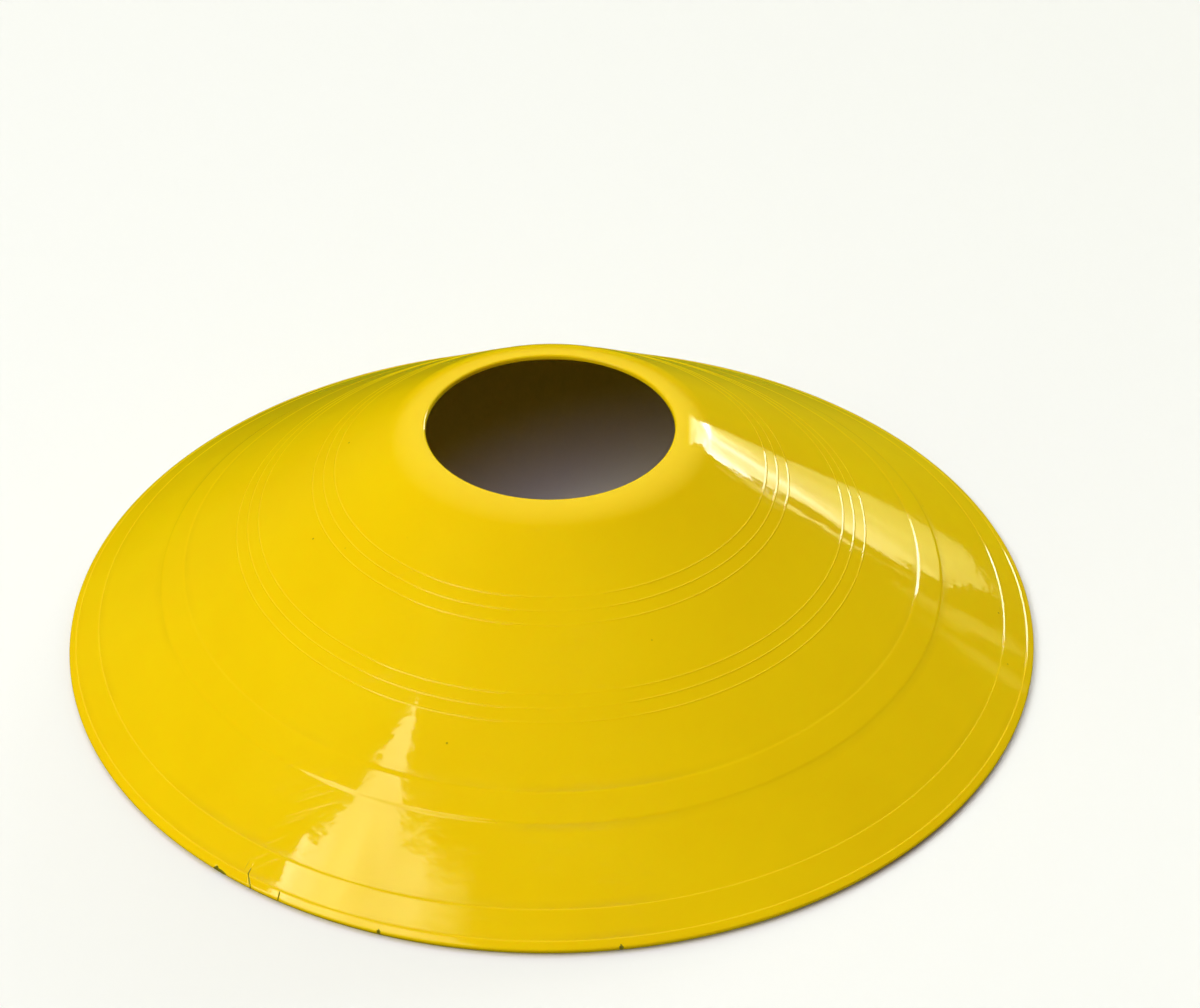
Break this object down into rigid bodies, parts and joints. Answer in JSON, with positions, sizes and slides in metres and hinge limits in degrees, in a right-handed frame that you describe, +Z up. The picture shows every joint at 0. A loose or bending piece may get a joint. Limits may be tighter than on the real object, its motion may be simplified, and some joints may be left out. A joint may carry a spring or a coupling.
{
  "type": "sports marker cone",
  "caption": "Low saucer-shaped training marker: a hollow conical shell with a round centre hole, raised ribs and band, and a beaded rim, for marking lines on a pitch.",
  "frame": {"origin": "on the ground plane that the foot rests on, under the middle of the centre hole", "axes": "+Z up along the shell's axis; the shell is round, so X and Y are any pair square to it"},
  "size_m": [0.2, 0.2, 0.05],
  "materials": {
    "moulding": "glossy yellow moulded polyethylene"
  },
  "bodies": {
    "root": {"disc_cone": "moulding"}
  },
  "joints": []
}
